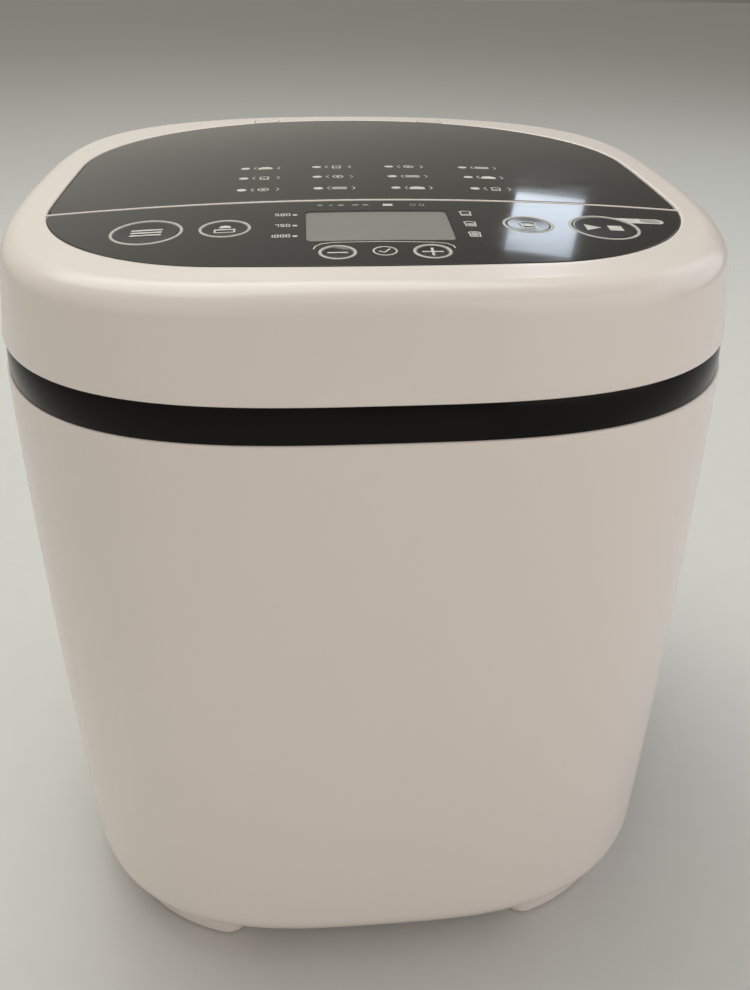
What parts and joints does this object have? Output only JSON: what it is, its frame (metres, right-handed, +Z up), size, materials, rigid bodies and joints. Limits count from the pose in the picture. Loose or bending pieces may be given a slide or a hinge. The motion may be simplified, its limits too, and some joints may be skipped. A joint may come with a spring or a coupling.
{
  "type": "bread machine",
  "caption": "Tall rounded countertop bread machine: barrel-shaped white housing, black band, domed glossy hinged lid and control fascia, lift-out pan.",
  "frame": {"origin": "on the table under the middle of the housing", "axes": "+Z up, front with the controls towards -Y, +X to the right seen from the front"},
  "size_m": [0.287, 0.316, 0.3032],
  "materials": {
    "white_plastic": "satin gloss warm white moulding",
    "black_gloss": "piano gloss black",
    "smoked_panel": "smoked glossy panel",
    "grey_plastic": "fine matt",
    "black_plastic": "fine matt",
    "silver_trim": "satin silver",
    "button_black": "gloss black",
    "display_lens": "clear lens",
    "lcd_grey": "grey green display",
    "light_lens": "frosted light lens",
    "circuit_board": "solder mask",
    "oven_steel": "bare sheet steel",
    "bare_steel": "machined steel",
    "heater_steel": "oxidised heater tube",
    "liner_aluminium": "drawn sheet",
    "nonstick": "speckled non-stick coat",
    "cast_aluminium": "die cast",
    "bronze": "sintered bush",
    "belt_rubber": "moulded rubber",
    "foot_rubber": "soft rubber",
    "pulley_plastic": "acetal",
    "motor_can": "plated can"
  },
  "bodies": {
    "housing": {"body_shell": "white_plastic", "top_ring": "white_plastic", "feet": "white_plastic", "oven_deck": "grey_plastic", "base_plate": "grey_plastic", "base_screws": "bare_steel", "foot_pads": "foot_rubber", "trim_band": "black_gloss", "rear_vent": "white_plastic", "cord_gland": "black_plastic", "control_fascia": "smoked_panel", "button_bezels": "silver_trim", "display_window": "display_lens", "lcd_module": "lcd_grey", "indicator_light": "light_lens", "control_board": "circuit_board", "tact_switches": "black_plastic", "buzzer": "black_plastic", "ribbon_cable": "grey_plastic", "hinge_pins": "bare_steel", "oven_chamber": "oven_steel", "heating_element": "heater_steel", "element_clips": "bare_steel", "temperature_probe": "bare_steel", "thermal_fuse": "bare_steel", "pan_latches": "bare_steel", "heat_shield": "oven_steel", "support_bracket": "oven_steel", "bearing_screws": "bare_steel", "drive_bearing": "cast_aluminium", "drive_belt": "belt_rubber", "motor_body": "motor_can", "motor_bracket": "oven_steel", "power_board": "circuit_board", "transformer": "motor_can", "board_components": "black_plastic"},
    "lid": {"lid_frame": "black_plastic", "lid_hinges": "white_plastic", "lid_panel": "smoked_panel", "lid_liner": "liner_aluminium", "lid_screws": "bare_steel"},
    "pan": {"pan_shell": "nonstick", "pan_base": "cast_aluminium", "pan_bush": "bronze", "bail_ears": "bare_steel"},
    "pan_bail": {"bail": "bare_steel"},
    "kneader": {"paddle": "nonstick", "paddle_shaft": "bare_steel", "pan_coupling": "cast_aluminium"},
    "drive": {"drive_shaft": "bare_steel", "drive_pulley": "pulley_plastic", "oven_coupling": "cast_aluminium"},
    "motor_rotor": {"motor_shaft": "bare_steel", "motor_pulley": "pulley_plastic"},
    "menu_button_key": {"menu_button": "button_black"},
    "weight_button_key": {"weight_button": "button_black"},
    "minus_button_key": {"minus_button": "button_black"},
    "plus_button_key": {"plus_button": "button_black"},
    "crust_button_key": {"crust_button": "button_black"},
    "start_button_key": {"start_button": "button_black"}
  },
  "joints": [
    {"name": "lid_hinge", "type": "hinge", "parent": "housing", "child": "lid", "pos_m": [0, 0.129, 0.2965], "axis": [-1, 0, 0], "range_deg": [0, 75]},
    {"name": "pan_lift", "type": "slide", "parent": "housing", "child": "pan", "axis": [0, 0, 1], "range_m": [0, 0.024]},
    {"name": "bail_hinge", "type": "hinge", "parent": "pan", "child": "pan_bail", "pos_m": [0, 0.018, 0.2352], "axis": [1, 0, 0], "range_deg": [0, 25]},
    {"name": "paddle_spin", "type": "hinge", "parent": "pan", "child": "kneader", "pos_m": [0, 0.018, 0.1], "axis": [0, 0, 1], "continuous": true},
    {"name": "drive_spin", "type": "hinge", "parent": "housing", "child": "drive", "pos_m": [0, 0.018, 0.05], "axis": [0, 0, 1], "continuous": true},
    {"name": "motor_spin", "type": "hinge", "parent": "housing", "child": "motor_rotor", "pos_m": [0, -0.1, 0.05], "axis": [0, 0, 1], "continuous": true},
    {"name": "menu_button_press", "type": "slide", "parent": "housing", "child": "menu_button_key", "axis": [0, 0, -1], "range_m": [0, 0.001], "stiffness_N_per_m": 400, "springref_m": -0.001},
    {"name": "weight_button_press", "type": "slide", "parent": "housing", "child": "weight_button_key", "axis": [0, 0, -1], "range_m": [0, 0.001], "stiffness_N_per_m": 400, "springref_m": -0.001},
    {"name": "minus_button_press", "type": "slide", "parent": "housing", "child": "minus_button_key", "axis": [0, 0, -1], "range_m": [0, 0.001], "stiffness_N_per_m": 400, "springref_m": -0.001},
    {"name": "plus_button_press", "type": "slide", "parent": "housing", "child": "plus_button_key", "axis": [0, 0, -1], "range_m": [0, 0.001], "stiffness_N_per_m": 400, "springref_m": -0.001},
    {"name": "crust_button_press", "type": "slide", "parent": "housing", "child": "crust_button_key", "axis": [0, 0, -1], "range_m": [0, 0.001], "stiffness_N_per_m": 400, "springref_m": -0.001},
    {"name": "start_button_press", "type": "slide", "parent": "housing", "child": "start_button_key", "axis": [0, 0, -1], "range_m": [0, 0.001], "stiffness_N_per_m": 400, "springref_m": -0.001}
  ],
  "couplings": [
    {"joint": "paddle_spin", "follows": "drive_spin", "ratio": 1},
    {"joint": "motor_spin", "follows": "drive_spin", "ratio": 4.5}
  ]
}
